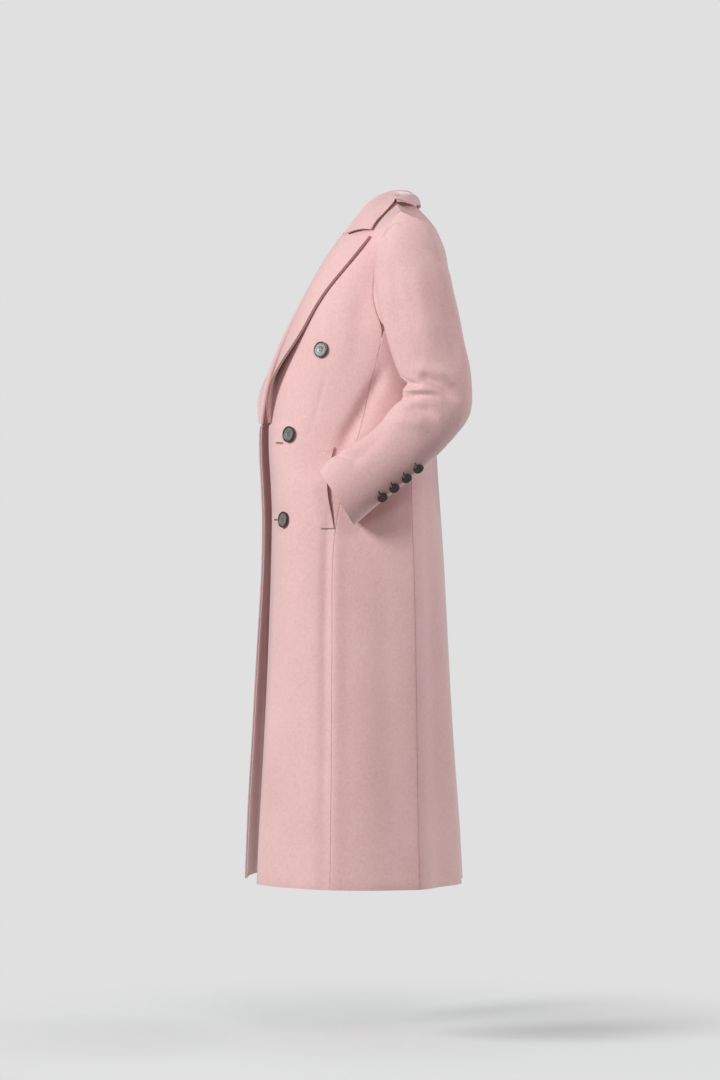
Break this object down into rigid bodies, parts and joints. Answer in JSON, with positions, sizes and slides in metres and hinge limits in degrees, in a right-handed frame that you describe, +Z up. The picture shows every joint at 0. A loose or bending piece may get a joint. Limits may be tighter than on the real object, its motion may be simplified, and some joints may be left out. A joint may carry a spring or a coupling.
{
  "type": "long double-breasted wool coat",
  "caption": "long double-breasted wool coat worn open, with wide peaked lapels, slanted welt pockets and buttoned cuffs, as a hollow worn form with bent sleeves",
  "frame": {"origin": "at the shoulders where the wearer's neck and shoulders carry the coat: on the middle plane, at the level of the neck seam, 30 mm in front of the centre of the neck", "axes": "+Z up, +X to the wearer's left, -Y to the front"},
  "size_m": [0.555, 0.4132, 1.2591],
  "materials": {
    "wool": "brushed wool coating with a fine nap",
    "button": "dark brown horn-like button, mottled grey face"
  },
  "bodies": {
    "root": {"front_left": "wool", "front_right": "wool", "facing_left": "wool", "facing_right": "wool", "side_left": "wool", "side_right": "wool", "back_left": "wool", "back_right": "wool", "top_sleeve_left": "wool", "top_sleeve_right": "wool", "under_sleeve_left": "wool", "under_sleeve_right": "wool", "pocket_welt_left": "wool", "pocket_welt_right": "wool", "collar": "wool", "front_button_left_1": "button", "front_button_left_2": "button", "front_button_left_3": "button", "front_button_right_1": "button", "front_button_right_2": "button", "front_button_right_3": "button", "cuff_button_left_1": "button", "cuff_button_left_2": "button", "cuff_button_left_3": "button", "cuff_button_left_4": "button", "cuff_button_right_1": "button", "cuff_button_right_2": "button", "cuff_button_right_3": "button", "cuff_button_right_4": "button"}
  },
  "joints": []
}
